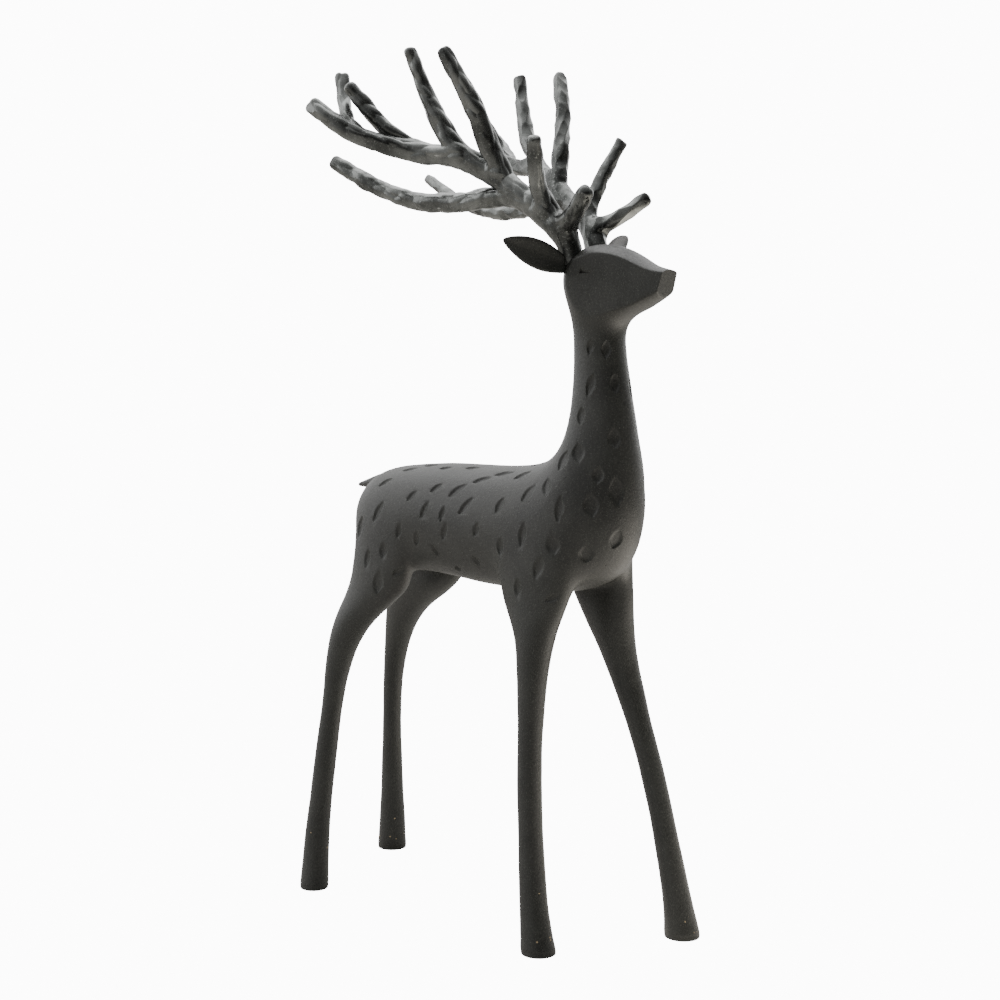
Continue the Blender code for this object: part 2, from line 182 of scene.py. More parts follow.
class Skin:
    """The vertices of a dense mesh as arrays, in millimetres, for carving."""

    def __init__(self, made: bpy.types.Object) -> None:
        """Read an object's vertices and normals."""
        self.mesh = made.data
        self.count = len(self.mesh.vertices)
        flat = np.empty(self.count * 3)
        self.mesh.vertices.foreach_get("co", flat)
        self.at = flat.reshape(-1, 3) / MM - np.array(SHIFT)
        self.read_normals()
        self.index = None

    def read_normals(self) -> None:
        """Read the vertex normals again."""
        flat = np.empty(self.count * 3)
        self.mesh.vertices.foreach_get("normal", flat)
        self.normal = flat.reshape(-1, 3)

    def write(self) -> None:
        """Put the carved places back into the mesh."""
        self.mesh.vertices.foreach_set("co", ((self.at + np.array(SHIFT)) * MM).ravel())
        self.mesh.update()
        self.read_normals()

    def tree(self) -> kdtree.KDTree:
        """A search tree over the vertices."""
        if self.index is None:
            self.index = kdtree.KDTree(self.count)
            for k, place in enumerate(self.at):
                self.index.insert(place, k)
            self.index.balance()
        return self.index

    def near(self, place: Vector, radius: float) -> np.ndarray:
        """Numbers of the vertices within a radius of a place."""
        return np.array([k for _, k, _ in self.tree().find_range(place, radius)], dtype=int)

    def keep(self, name: str, values: np.ndarray) -> None:
        """Store one value a vertex for the materials.

        Args:
            name: the attribute's name.
            values: one number for each vertex.
        """
        layer = self.mesh.attributes.get(name) or self.mesh.attributes.new(name, "FLOAT", "POINT")
        layer.data.foreach_set("value", values.astype(np.float32))

    def noise(self, size: float, octaves: int = 1, seed: float = 0.0) -> np.ndarray:
        """Smooth noise between -1 and 1 at every vertex.

        Args:
            size: the noise's grain in millimetres.
            octaves: how many finer layers it has.
            seed: moves the noise to another place.

        Returns:
            One value for each vertex.
        """
        move = Vector((seed, seed * 1.7, -seed))
        return np.array([noise.fractal(Vector(place) / size + move, 1.0, 2.0, octaves,
                                       noise_basis="PERLIN_ORIGINAL") for place in self.at])


@dataclass(frozen=True)
class Station:
    """One section across the trunk: back and under points, half width, leanness of its lower half."""

    back: tuple[float, float]
    under: tuple[float, float]
    half: float
    lean: float


@dataclass(frozen=True)
class Leg:
    """One leg: its side, the trunk bands it grows from and its sections down to the floor.

    A section is its height, its place outwards and along, and its half sizes across and along.
    """

    side: Side
    bands: tuple[int, int]
    sections: tuple[tuple[float, float, float, float, float], ...]


@dataclass(frozen=True)
class Gouge:
    """One cut of the carver's gouge: place, slant in degrees, length and width."""

    x: float
    y: float
    z: float
    slant: float
    length: float
    width: float


TRUNK = [Station(*row) for row in (
    ((87, 242), (88, 226), 9, 1),
    ((84, 256), (83, 213), 20, 1),
    ((75, 264), (74, 204), 28.5, 1),
    ((56, 269), (58, 203), 33.5, 0.95),
    ((28, 271), (28, 205), 34.5, 0.82),
    ((4, 272), (4, 203), 34, 0.82),
    ((-20, 272), (-24, 200.5), 34, 0.82),
    ((-46, 273), (-54, 199.5), 34.5, 0.9),
    ((-66, 277), (-80, 201), 34, 1),
    ((-78.5, 288), (-107, 208), 32.5, 1),
    ((-82, 300), (-122, 229), 27, 1),
    ((-82.5, 314), (-127, 258), 20, 1),
    ((-82, 328), (-122, 292), 15.6, 1),
    ((-82, 344), (-115.5, 328), 13.3, 1),
    ((-81.5, 357), (-112, 347), 13.5, 1),
    ((-78, 370), (-114, 355), 17.5, 1),
    ((-75.5, 383), (-120.5, 359.5), 22, 1),
    ((-83.5, 396), (-128, 362), 25.5, 1.05),
    ((-100, 400.3), (-134, 364.5), 21, 1.05),
    ((-116, 397), (-139.5, 367.3), 16, 1),
    ((-128, 390.3), (-144, 369.8), 12, 0.95),
    ((-138, 385.2), (-148, 371.4), 9.6, 0.95),
    ((-152, 383.3), (-156, 373.8), 8.6, 1),
)]
HIND_BANDS = (2, 4)
FORE_BANDS = (7, 9)
LEG_RING_CORNERS = (3, 4, 5)
FOOT_EDGE = 0.8
LEGS = [
    Leg(Side.RIGHT, FORE_BANDS, (
        (198, 26, -72, 10.5, 24), (182, 27, -74, 11.3, 13.2), (162, 30, -74.3, 9, 9.6),
        (135, 32, -74.7, 7.6, 7.7), (95, 34.5, -75.7, 7.2, 7.2), (60, 36, -78.6, 7.5, 7.5),
        (28, 37.5, -81.8, 8.2, 8.4), (10, 38.4, -84.7, 9.4, 9.8), (FOOT_EDGE, 38.7, -86.8, 10.2, 10.4))),
    Leg(Side.LEFT, FORE_BANDS, (
        (198, 26, -80, 10.5, 22), (180, 27.5, -84.3, 12, 15), (158, 30, -91, 9.6, 10.2),
        (130, 32, -100, 7.8, 7.8), (92, 34.5, -112.5, 7.1, 7.1), (56, 36, -120.2, 7.4, 7.4),
        (28, 37.5, -126.3, 8.2, 8.4), (10, 38.4, -129.2, 9.7, 9.9), (FOOT_EDGE, 38.7, -130.3, 10.5, 10.7))),
    Leg(Side.RIGHT, HIND_BANDS, (
        (196, 27, 52, 11.5, 25), (180, 30, 67, 11.3, 17.5), (161, 34, 79.5, 9, 11),
        (136, 36, 85, 7.2, 7.4), (106, 38, 89, 6.6, 6.6), (68, 41, 93, 7.0, 7.2),
        (30, 44, 96, 7.8, 8.0), (10, 46, 95.6, 8.8, 9.0), (FOOT_EDGE, 47, 95.2, 9.0, 9.2))),
    Leg(Side.LEFT, HIND_BANDS, (
        (194, 27, 64, 12, 30), (178, 30, 85, 11.5, 19.5), (159, 34, 99.5, 8.8, 10),
        (132, 36, 107.5, 7.0, 7.2), (102, 38, 111.5, 6.2, 6.2), (66, 41, 115, 6.9, 7.0),
        (30, 44, 118, 8.2, 8.5), (10, 46, 120.7, 9.4, 9.6), (FOOT_EDGE, 47, 121.6, 9.7, 9.9))),
]

# Cuts on the right side; the left side carries its own, close to their mirror image
GOUGES = [Gouge(*row) for row in (
    (-14, -96, 321, 75, 12, 5), (-7, -108, 322, 88, 10, 5.5), (-13, -95, 342, 80, 8, 4), (-9, -103, 341, 85, 9, 5),
    (-17, -92, 304, 90, 9, 5), (-11, -111, 292, 95, 10, 7), (-22, -94, 284, 100, 10, 7), (-24, -85, 279, 75, 11, 6),
    (-19, -106, 272, 85, 9, 6), (-13, -114, 263, 100, 14, 8), (-23, -104, 255, 100, 12, 8),
    (-31, -88, 253, 85, 14, 5), (-29, -77, 264, 100, 10, 6), (-29, -63, 260, 60, 12, 6), (-16, -33, 269, 30, 12, 4),
    (-21, -20, 265, 35, 12, 4), (-31, -43, 252, 75, 10, 4.5), (-31, -17, 250, 55, 13, 4), (-27, -6, 258, 50, 13, 5),
    (-26, 12, 258, 50, 9, 4), (-30, 29, 253, 60, 8, 4), (-33, 16, 246, 70, 11, 4), (-33, 1, 244, 80, 9, 3.5),
    (-33, 55, 242, 62, 14, 5), (-23, 59, 259, 45, 10, 4), (-32, 73, 231, 80, 12, 6), (-34, -2, 234, 70, 10, 4),
    (-34, -28, 237, 75, 8, 4.5), (-35, -64, 237, 85, 13, 5), (-35, -47, 229, 85, 9, 5), (-33, -85, 233, 95, 10, 8),
    (-22, -100, 228, 90, 9, 8), (-11, -112, 236, 60, 10, 7), (-35, -76, 220, 70, 12, 6), (-36, -62, 207, 88, 10, 5),
    (-35, 48, 218, 85, 9, 6), (-37, 62, 213, 85, 11, 5), (-31, 39, 207, 20, 8, 4), (-37, 51, 199, 80, 13, 7),
    (-31, 8, 222, 110, 8, 3), (-25, -6, 213, 10, 5, 4), (-29, -25, 219, 110, 7, 3.5), (-32, -84, 203, 20, 8, 4),
    (-10, -2, 271, 30, 10, 4), (-8, 34, 270, 35, 10, 4), (-12, 18, 269, 30, 9, 3.5), (-14, 48, 268, 40, 10, 4),
    (-6, -52, 272, 40, 10, 4), (-18, -50, 268, 45, 11, 4.5), (-30, 36, 232, 75, 9, 4), (-34, 22, 228, 75, 9, 4),
)]


@dataclass
class Ear:
    """A leaf-shaped ear, hollow on its front face."""

    side: Side
    root: tuple[float, float, float] = (13, -86, 386)
    reach: tuple[float, float, float] = (42, 12, 17.2)
    lift: float = 2.8
    widths: tuple[tuple[float, float], ...] = ((0.0, 7), (0.14, 11), (0.36, 17), (0.62, 16), (0.84, 10), (1.0, 2))
    thick: float = 3.2
    thinning: float = 0.45
    hollow: float = 1.4
    hollow_width: float = 12
    levels: int = 4

    def build(self) -> bpy.types.Object:
        """Make the ear.

        Returns:
            A closed body that reaches into the head.
        """
        side = self.side.value
        root = Vector(self.root)
        reach = Vector(self.reach) + Vector((0, 0, side * self.lift))
        axis = reach.normalized()
        wide = (Vector((0, 0, 1)) - axis * axis.z).normalized()
        front = wide.cross(axis)
        if front.y > 0:
            front.negate()
        scale = 1 / RING_SHRINK[8]
        cage = Cage("ear")
        rings = []
        for share, width in self.widths:
            centre = root + reach * share
            half = width / 2 * scale
            thick = self.thick / 2 * scale * (1 - self.thinning * share)
            hollow = self.hollow * min(1.0, width / self.hollow_width)
            section = ((half, thick * 0.4), (half * 0.72, thick), (0, thick - hollow), (-half * 0.72, thick),
                       (-half, thick * 0.4), (-half * 0.7, -thick), (0, -thick * 1.5), (half * 0.7, -thick))
            ring = []
            for across, ahead in section:
                place = centre + wide * across + front * ahead
                ring.append(cage.point(Vector((side * place.x, place.y, place.z))))
            rings.append(ring)
        for first, second in zip(rings, rings[1:]):
            cage.bridge(first, second)
        cage.cap(rings[0])
        cage.cap(rings[-1])
        return cage.smooth(self.levels)


@dataclass
class Figure:
    """Body, neck, head, ears, tail and legs: one casting."""

    levels: int = 5
    trunk_sides: int = 12
    leg_sides: int = 8
    most_faces: int = 140000
    cheek_at_nose: float = 6.8
    cheek_taper: float = 0.21
    nose_top: tuple[float, float] = (-146, 382)
    nose_bottom: tuple[float, float] = (-143, 372)
    head_front_of: float = -60.0
    cheek_floor: float = 334.0
    cheek_fade: float = 16.0
    cheek_round: float = 0.9
    nose_round: float = 0.8
    eye_back: float = -96.3
    eye_low: float = 382.4
    eye_rise: tuple[float, float] = (-1.4, 3.7)
    eye_reach: tuple[float, float] = (-7.9, 0.5)
    eye_pit: tuple[float, float] = (-0.8, 0.8)
    eye_depth: float = 1.5
    eye_past: float = 1.35
    gouge_depth: float = 1.0
    gouge_scale: float = 1.15
    gouge_rim: float = 0.07
    far_side_drift: tuple[float, float, float] = (4, 3, 12)
    tail_root: tuple[float, float] = (76, 257)
    tail_tip: tuple[float, float] = (101, 253.5)
    tail_across: tuple[float, float] = (8, 1.6)
    tail_tall: tuple[float, float] = (6.6, 1.2)
    skin_back: float = 0.25
    waves: tuple[tuple[float, float, float], ...] = ((34, 3.0, 0.35), (9, 7.0, 0.07))
    calm_from: float = 310.0
    calm_over: float = 50.0
    calm_share: float = 0.75
    sole_back: float = 0.4

    def trunk_ring(self, cage: Cage, station: Station, grow: float = 0.0) -> list:
        """One ring across the body.

        Args:
            cage: the cage it goes into.
            station: the section.
            grow: how much larger the ring is made all round.

        Returns:
            The ring's corners, from the back line round by the left.
        """
        back = Vector((0, *station.back))
        under = Vector((0, *station.under))
        middle = (back + under) / 2
        up = (back - under) / 2
        scale = 1 / RING_SHRINK[self.trunk_sides]
        up = up.normalized() * (up.length + grow) * scale
        out = Vector((1, 0, 0)) * (station.half + grow) * scale
        ring = []
        for k in range(self.trunk_sides):
            turn = 2 * math.pi * k / self.trunk_sides
            high, wide = math.cos(turn), math.sin(turn)
            if high < 0:
                high = -abs(high) ** station.lean
                wide = math.copysign(abs(wide) ** station.lean, wide)
            ring.append(cage.point(middle + up * high + out * wide))
        return ring

    def leg_ring(self, cage: Cage, leg: Leg, section: tuple, lift: float | None = None,
                 inset: float = 0.0) -> list:
        """One ring round a leg.

        Args:
            cage: the cage it goes into.
            leg: the leg.
            section: the ring's section.
            lift: another height for it.
            inset: how much narrower it is made.

        Returns:
            The ring's corners.
        """
        z, out, y, across, along = section
        scale = 1 / RING_SHRINK[self.leg_sides]
        ring = []
        for k in range(self.leg_sides):
            turn = 2 * math.pi * k / self.leg_sides
            reach = out + (across - inset) * scale * math.cos(turn)
            forward = (along - inset) * scale * math.sin(turn)
            height = z if lift is None else lift
            ring.append(cage.point(Vector((leg.side.value * reach, y - forward, height))))
        return ring

    def grow_leg(self, cage: Cage, rings: list, leg: Leg) -> None:
        """Extrude a leg from the trunk down to a flat foot.

        Args:
            cage: the figure's cage.
            rings: the trunk's rings.
            leg: the leg.
        """
        low, high = leg.bands
        mid = (low + high) // 2
        outer, centre, inner = LEG_RING_CORNERS
        if leg.side is Side.RIGHT:
            outer, centre, inner = (self.trunk_sides - k for k in LEG_RING_CORNERS)
        order = ((mid, outer), (high, outer), (high, centre), (high, inner),
                 (mid, inner), (low, inner), (low, centre), (low, outer))
        loop = [rings[band][corner] for band, corner in order]
        bmesh.ops.delete(cage.bm, geom=[rings[mid][centre]], context="VERTS")
        for section in leg.sections:
            ring = self.leg_ring(cage, leg, section)
            cage.bridge(loop, ring)
            loop = ring
        sole = self.leg_ring(cage, leg, leg.sections[-1], lift=0.0, inset=FOOT_EDGE / 2)
        cage.bridge(loop, sole)
        cage.cap(sole, sharp=True)

    def cage_body(self, name: str, levels: int, with_legs: bool = True,
                  grow: float = 0.0) -> bpy.types.Object:
        """The trunk, neck and head in one cage, smoothed.

        Args:
            name: the object's name.
            levels: subdivision steps.
            with_legs: whether the legs are on it.
            grow: how much larger the trunk is made all round.

        Returns:
            The smoothed body.
        """
        cage = Cage(name)
        rings = [self.trunk_ring(cage, station, grow) for station in TRUNK]
        for first, second in zip(rings, rings[1:]):
            cage.bridge(first, second)
        cage.cap(rings[0])
        cage.cap(rings[-1])
        if with_legs:
            for leg in LEGS:
                self.grow_leg(cage, rings, leg)
        return cage.smooth(levels)

    def cheek_plane(self, y: np.ndarray) -> np.ndarray:
        """Half thickness of the head at a place along it."""
        return self.cheek_at_nose + self.cheek_taper * (y - self.nose_top[0])

    def flatten_head(self, skin: Skin) -> None:
        """Press both cheeks and the nose flat, with a small rounding along their edges."""
        head = np.clip((skin.at[:, 2] - self.cheek_floor) / self.cheek_fade, 0, 1) ** 2
        head *= skin.at[:, 1] < self.head_front_of
        x = np.abs(skin.at[:, 0])
        flat = soft_min(x, self.cheek_plane(skin.at[:, 1]), self.cheek_round)
        skin.at[:, 0] = np.sign(skin.at[:, 0]) * (x + (flat - x) * head)
        top = np.array((0, *self.nose_top), dtype=float)
        low = np.array((0, *self.nose_bottom), dtype=float)
        along = unit(low - top)
        normal = np.array((0, along[2], -along[1]))
        if normal[1] > 0:
            normal = -normal
        out = (skin.at - top) @ normal
        held = soft_min(out, np.zeros(skin.count), self.nose_round)
        skin.at += normal * ((held - out) * head)[:, None]

    def carve(self, skin: Skin) -> None:
        """Cut the gouge marks on both sides."""
        mark = np.zeros(skin.count)
        rng = np.random.default_rng(11)
        along, up, turn = self.far_side_drift
        for side in Side:
            for cut in GOUGES:
                place = Vector((cut.x, cut.y, cut.z)) - SHIFT
                slant = cut.slant
                if side is Side.LEFT:
                    place = Vector((-cut.x, cut.y + rng.uniform(-along, along), cut.z + rng.uniform(-up, up)))
                    place -= SHIFT
                    slant += rng.uniform(-turn, turn)
                size = (cut.length * self.gouge_scale, cut.width * self.gouge_scale)
                self.gouge(skin, mark, place, slant, size)
        skin.keep("gouge", mark)

    def gouge(self, skin: Skin, mark: np.ndarray, place: Vector, slant: float, size: tuple[float, float]
              ) -> None:
        """One leaf-shaped hollow, deepest at its lower end, with a faint burr along its rim.

        Args:
            skin: the figure's surface.
            mark: how deep each vertex lies in a gouge; it is raised where this one cuts.
            place: a point on or near the surface.
            slant: degrees from level.
            size: length and width.
        """
        length, width = size
        _, seat, _ = skin.tree().find(place)
        centre, normal = skin.at[seat], skin.normal[seat]
        turn = math.radians(slant)
        along = np.array((0.0, -math.cos(turn), math.sin(turn)))
        along = unit(along - normal * (along @ normal))
        across = np.cross(normal, along)
        near = skin.near(Vector(centre), length * 0.8)
        off = skin.at[near] - centre
        u = off @ along / (length / 2)
        v = off @ across / (width / 2)
        facing = skin.normal[near] @ normal > 0.3
        reach = np.maximum(1 - u * u, 0.0)
        leaf = 1 - np.abs(v) / np.maximum(reach, 1e-3)
        cut = np.clip(leaf * 1.5, 0.0, 1.0)
        shape = cut * (2 - cut) * reach ** 0.5 * (1 - 0.35 * u) * (facing & (np.abs(u) < 1))
        rim = np.exp(-(leaf / 0.22) ** 2) * facing * (np.abs(u) < 0.95) * reach * self.gouge_rim
        skin.at[near] -= normal * ((shape - rim) * self.gouge_depth)[:, None]
        mark[near] = np.maximum(mark[near], shape)

    def eye(self, side: Side) -> bpy.types.Object:
        """The notch of one eye: a chisel cut that is deepest at its rear lower corner.

        Args:
            side: the side it is on.

        Returns:
            The body that is cut away.
        """
        flat = [(self.eye_back + y, self.eye_low + z) for y, z in ((0, 0), self.eye_rise, self.eye_reach)]
        deep_y, deep_z = self.eye_back + self.eye_pit[0], self.eye_low + self.eye_pit[1]
        deep = Vector((self.cheek_plane(deep_y) - self.eye_depth, deep_y, deep_z))
        corners = [deep] + [deep + (Vector((self.cheek_plane(y), y, z)) - deep) * self.eye_past
                            for y, z in flat]
        cage = Cage("eye")
        points = [cage.point(Vector((side.value * corner.x, corner.y, corner.z))) for corner in corners]
        for trio in ((0, 1, 2), (0, 2, 3), (0, 3, 1), (1, 2, 3)):
            cage.bm.faces.new([points[k] for k in trio])
        return cage.smooth(0)

    def tail(self) -> bpy.types.Object:
        """A short pointed tail.

        Returns:
            A closed body that reaches into the rump.
        """
        cage = Cage("tail")
        rings = []
        for share in (0.0, 0.3, 0.65, 0.93, 1.0):
            y = self.tail_root[0] + (self.tail_tip[0] - self.tail_root[0]) * share
            z = self.tail_root[1] + (self.tail_tip[1] - self.tail_root[1]) * share
            across = self.tail_across[0] + (self.tail_across[1] - self.tail_across[0]) * share
            tall = self.tail_tall[0] + (self.tail_tall[1] - self.tail_tall[0]) * share
            rings.append([cage.point(Vector((x * across, y, z + up * tall)))
                          for x, up in ((1, 1), (-1, 1), (-1, -1), (1, -1))])
        for first, second in zip(rings, rings[1:]):
            cage.bridge(first, second)
        cage.cap(rings[0])
        cage.cap(rings[-1])
        return cage.smooth(3)

    def ripple(self, skin: Skin) -> None:
        """Give the skin the slow waves of a casting, calmer on the head and gone at the soles."""
        height = skin.at[:, 2]
        swell = sum(skin.noise(size, 2, seed) * deep for size, seed, deep in self.waves)
        calm = 1 - self.calm_share * np.clip((height - self.calm_from) / self.calm_over, 0, 1)
        away = np.clip((height - 2) / 6, 0, 1) * calm
        away += self.sole_back * (height < 3) * (1 - np.abs(skin.normal[:, 2]))
        skin.at -= skin.normal * ((self.skin_back + swell) * away)[:, None]
        skin.index = None

    def build(self) -> bpy.types.Object:
        """Make the figure's mesh.

        Returns:
            The figure.
        """
        made = self.cage_body("figure_casting", self.levels)
        skin = Skin(made)
        self.flatten_head(skin)
        skin.write()
        self.ripple(skin)
        self.carve(skin)
        skin.write()
        thin(made, self.most_faces)
        for side in Side:
            combine(made, self.eye(side), "DIFFERENCE")
            combine(made, Ear(side).build(), "UNION")
        combine(made, self.tail(), "UNION")
        shade(made, 38)
        return made


def thin(made: bpy.types.Object, most: int) -> None:
    """Thin a dense mesh where it is smooth.

    Args:
        made: the object.
        most: the triangles it may keep.
    """
    faces = sum(len(face.vertices) - 2 for face in made.data.polygons)
    if faces > most:
        step = made.modifiers.new("thin", "DECIMATE")
        step.ratio = most / faces
        settle(made)


def shade(made: bpy.types.Object, angle: float) -> None:
    """Shade smooth, with sharp edges above an angle.

    Args:
        made: the object.
        angle: degrees between faces from which an edge stays sharp.
    """
    mesh = made.data
    mesh.polygons.foreach_set("use_smooth", [True] * len(mesh.polygons))
    mesh.set_sharp_from_angle(angle=math.radians(angle))
    mesh.update()


@dataclass(frozen=True)
class Tine:
    """One tine: where it leaves the beam, how far it reaches, how it bows and its radii."""

    name: str
    at: float
    reach: tuple[float, float, float]
    bow: tuple[float, float, float]
    root: float
    tip: float

    def point(self, start: Vector, share: float) -> Vector:
        """A point on the tine's bowed centre line."""
        return start + Vector(self.reach) * share + Vector(self.bow) * 4 * share * (1 - share)


# Knots of the beam's middle line and the tines along it, as (out, y, z) and (out, back, up)
BEAM = [Vector(row) for row in (
    (10.5, -87, 388), (11.5, -85.5, 397), (13.5, -82, 405), (16, -75.5, 412.5), (19, -65.5, 420.5),
    (22, -53.5, 429), (25, -43, 437), (30, -31, 445), (35.5, -16, 450), (41, 1, 451.5),
    (50, 15, 454.5), (62, 25, 458.5), (72, 39, 467.5), (78, 58, 481.3),
)]
TINES = {
    Side.RIGHT: [Tine(*row) for row in (
        ("brow", 2.3, (15, -31.5, 20.8), (-1, 0, -2), 5.4, 4.0),
        ("bez", 3.5, (20.6, -10.6, 40.6), (0.5, 1.5, 0), 5.4, 3.3),
        ("royal", 5.2, (18.5, 131, 22.5), (-1, 0, -16.5), 5.9, 3.9),
        ("crown_fore", 6.0, (27, 20, 71), (0, -5, 0), 6.4, 3.5),
        ("crown_mid", 7.8, (14.5, 24.5, 62), (0, 2, 0), 6.2, 3.1),
        ("surroyal", 9.4, (17, 37, 40.5), (-1, 2.5, -1.5), 5.2, 3.4),
        ("back_upper", 11.6, (-16, 25, 38), (-2, 4, -0.5), 3.2, 3.5))],
    Side.LEFT: [Tine(*row) for row in (
        ("brow", 2.3, (15, -31.5, 20.8), (-1, 0, -2), 5.4, 4.4),
        ("bez", 3.5, (24.5, -10.7, 46.5), (0.5, 1, 0), 5.6, 4.1),
        ("royal", 5.2, (18.5, 131, 22.5), (-1, 0, -16.5), 5.9, 3.9),
        ("crown_fore", 6.0, (27, 20, 70.5), (0, -5, 0), 6.2, 4.5),
        ("crown_mid", 7.8, (14, 24, 60.5), (0, 2.5, 0), 6.0, 4.1),
        ("surroyal", 9.4, (6.5, 35.5, 41), (-9, 2, -1.5), 5.2, 3.8),
        ("back_upper", 11.6, (-10.5, 23, 38.5), (-1.5, 0.5, 0), 4.2, 3.8))],
}

# Rings that round a tip: how many tip radii before the end, and their share of the radius
TIP_ROUND = ((0.95, 1.0), (0.55, 0.88), (0.36, 0.55))


@dataclass
class Antler:
    """One branching antler, with the facets its maker hammered into it."""

    side: Side
    base: float = 7.6
    end: float = 4.4
    foot: float = 6.5
    lean: float = 0.7
    step: float = 17.0
    spread: float = 1.05
    fuller: float = 0.99
    facet_apart: float = 5.4
    crest: float = 0.07
    end_back: float = 0.2
    most_out: float = 0.05
    widest: float = 80.9
    levels: int = 5
    foot_places: tuple[float, float, float] = (0.0, 1.0, 1.7)
    end_steps: tuple[float, float] = (0.8, 0.3)
    clear: float = 1.25
    clear_root: float = 0.35
    clear_most: float = 0.4
    heading_at: float = 0.3
    tip_step: float = 1.5
    facet_tries: int = 9000
    facet_turn: float = 0.55
    facet_depth: tuple[float, float] = (0.5, 1.2)
    facet_length: tuple[float, float] = (6.0, 11.0)
    facet_width: tuple[float, float] = (3.0, 4.2)
    facet_round: float = 5.0
    facets_near: int = 9
    lump: float = 0.6
    fine: float = 0.04
    seam: float = 0.3
    ear_room: float = 3.8
    most_faces: int = 170000
    line: list = field(default_factory=list, init=False)

    @staticmethod
    def on_beam(place: float) -> Vector:
        """A point on the smooth line through the beam's knots, at a place counted in knots."""
        last = len(BEAM) - 1
        k = min(max(int(place), 0), last - 1)
        t = place - k
        a, b, c, d = [BEAM[min(max(k + step, 0), last)] for step in (-1, 0, 1, 2)]
        return 0.5 * (2 * b + (c - a) * t + (2 * a - 5 * b + 4 * c - d) * t ** 2
                      + (3 * b - a - 3 * c + d) * t ** 3)

    def heading(self, place: float) -> Vector:
        """The beam's direction at a place counted in knots."""
        last = len(BEAM) - 1
        return (self.on_beam(min(place + 0.05, last)) - self.on_beam(max(place - 0.05, 0))).normalized()

    def radius(self, place: float) -> float:
        """The beam's radius at a place counted in knots."""
        if place <= 1:
            return self.foot
        return self.base + (self.end - self.base) * place / (len(BEAM) - 1)

    def ring(self, cage: Cage, centre: Vector, heading: Vector, ahead: Vector, radius: float
             ) -> tuple[list, Vector]:
        """Four corners round a line.

        Args:
            cage: the cage they go into.
            centre: the ring's middle.
            heading: the line's direction there.
            ahead: the direction of the last ring's front.
            radius: the casting's radius there.

        Returns:
            The corners and the direction carried along.
        """
        ahead = (ahead - heading * ahead.dot(heading)).normalized()
        across = heading.cross(ahead)
        reach = radius * self.fuller / RING_SHRINK[4]
        turns = [math.pi / 4 + k * math.pi / 2 for k in range(4)]
        corners = [cage.bm.verts.new(centre + (ahead * math.cos(turn) + across * math.sin(turn)) * reach)
                   for turn in turns]
        self.line.append((centre.copy(), heading.copy()))
        return corners, ahead

    @staticmethod
    def nearest_order(first: list, second: list) -> list:
        """The second ring, turned so that its corners meet the first ring's."""
        turned = [order[turn:] + order[:turn] for order in (second, second[::-1])
                  for turn in range(len(order))]
        return min(turned, key=lambda ring: sum((a.co - b.co).length for a, b in zip(first, ring)))

    def grow(self, cage: Cage, face: bmesh.types.BMFace, tine: Tine) -> None:
        """Extrude a tine from one side of the beam to its blunt tip.

        Args:
            cage: the antler's cage.
            face: the side of the beam that it leaves.
            tine: the tine.
        """
        root = self.on_beam(tine.at)
        heading = (tine.point(root, self.heading_at) - root).normalized()
        lean = heading.cross(self.heading(tine.at)).length
        length = Vector(tine.reach).length
        clear = self.clear * self.radius(tine.at) / max(lean, 0.5) + self.clear_root * tine.root
        start = min(clear, self.clear_most * length) / length
        loop = list(face.verts)
        ahead = (loop[0].co + loop[1].co) / 2 - face.calc_center_median()
        bmesh.ops.delete(cage.bm, geom=[face], context="FACES_ONLY")
        steps = max(3, round(length * (1 - start) / self.step))
        end = 1 - self.tip_step * tine.tip / length
        shares = [(start + (end - start) * k / steps, 1.0) for k in range(steps + 1)]
        shares += [(1 - back * tine.tip / length, round_off) for back, round_off in TIP_ROUND]
        for share, round_off in shares:
            heading = (tine.point(root, share + 0.02) - tine.point(root, share - 0.02)).normalized()
            radius = (tine.root + (tine.tip - tine.root) * share) * round_off
            ring, ahead = self.ring(cage, tine.point(root, share), heading, ahead, radius)
            ring = self.nearest_order(loop, ring)
            cage.bridge(loop, ring)
            loop = ring
        cage.cap(loop)

    def cage(self) -> bpy.types.Object:
        """The beam and its tines.

        Returns:
            One smoothed body.
        """
        cage = Cage("antler_" + self.side.name.lower() + "_casting")
        last = len(BEAM) - 1
        places = list(self.foot_places)
        for tine in TINES[self.side]:
            pace = (self.on_beam(tine.at + 0.5) - self.on_beam(tine.at - 0.5)).length
            spread = self.spread * tine.root / pace
            places += [tine.at - spread, tine.at + spread]
        places = [(place, 1.0) for place in places + [last - back for back in self.end_steps]]
        pace = (BEAM[last] - BEAM[last - 1]).length
        places += [(last - (back + self.end_back) * self.end / pace, round_off)
                   for back, round_off in TIP_ROUND]
        ahead = Vector((0, -1, 0))
        rings = []
        for place, round_off in places:
            radius = self.radius(place) * round_off
            ring, ahead = self.ring(cage, self.on_beam(place), self.heading(place), ahead, radius)
            rings.append(ring)
        bands = [cage.bridge(first, second) for first, second in zip(rings, rings[1:])]
        cage.cap(rings[0], sharp=True)
        cage.cap(rings[-1])
        for tine in TINES[self.side]:
            band = max(k for k, (place, _) in enumerate(places) if place < tine.at)
            root = self.on_beam(tine.at)
            heading = (tine.point(root, self.heading_at) - root).normalized()
            beam = self.heading(tine.at)
            beside = heading - beam * heading.dot(beam)
            face = max(bands[band], key=lambda f: (f.calc_center_median() - root).dot(beside))
            self.grow(cage, face, tine)
        for vert in cage.bm.verts:
            vert.co = (self.carried(vert.co) + SHIFT) * MM
        self.line = [(self.carried(centre), self.turned(heading)) for centre, heading in self.line]
        return cage.smooth(self.levels)

